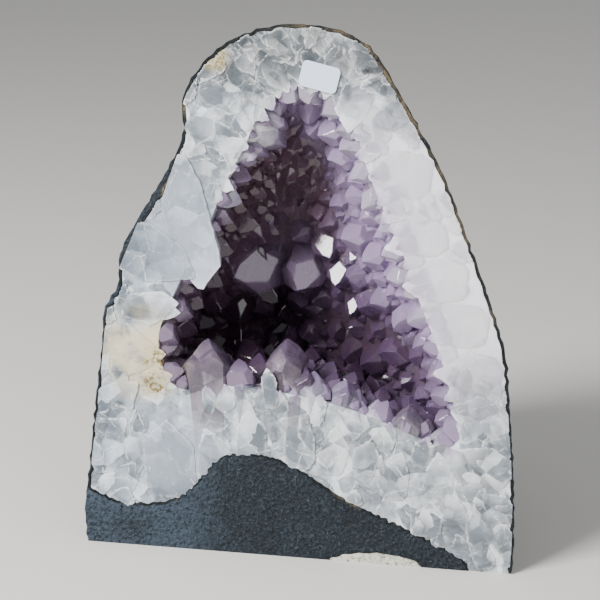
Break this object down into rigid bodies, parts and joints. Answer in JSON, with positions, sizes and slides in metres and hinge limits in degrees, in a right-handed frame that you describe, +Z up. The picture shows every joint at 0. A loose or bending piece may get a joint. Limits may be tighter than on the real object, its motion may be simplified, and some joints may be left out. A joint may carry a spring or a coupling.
{
  "type": "amethyst geode",
  "caption": "Upright half of a basalt geode, sawn open and cut flat underneath: a thick milky quartz rim round a tall hollow lined with amethyst crystals.",
  "frame": {"origin": "The middle of the outside box on the ground plane: x and y are halfway across the whole object and z is the flat base that it stands on.", "axes": "+Z up, from the flat base to the top of the stone. The sawn face with the hollow looks towards -Y and leans back by 6 degrees, and the weathered back of the stone is towards +Y. +X is to the right for somebody who looks at the face."},
  "size_m": [0.2083, 0.1462, 0.2506],
  "materials": {
    "basalt": "fine-grained, sawn at the front and weathered behind",
    "quartz": "milky and translucent, sawn and polished at the front",
    "amethyst": "glassy natural crystal faces",
    "pale_mineral": "rough and crystalline",
    "label_paper": "matte, blank"
  },
  "bodies": {
    "root": {"basalt_shell": "basalt", "quartz_wall": "quartz", "amethyst_crust": "amethyst", "pale_inclusion": "pale_mineral", "price_label": "label_paper"}
  },
  "joints": []
}
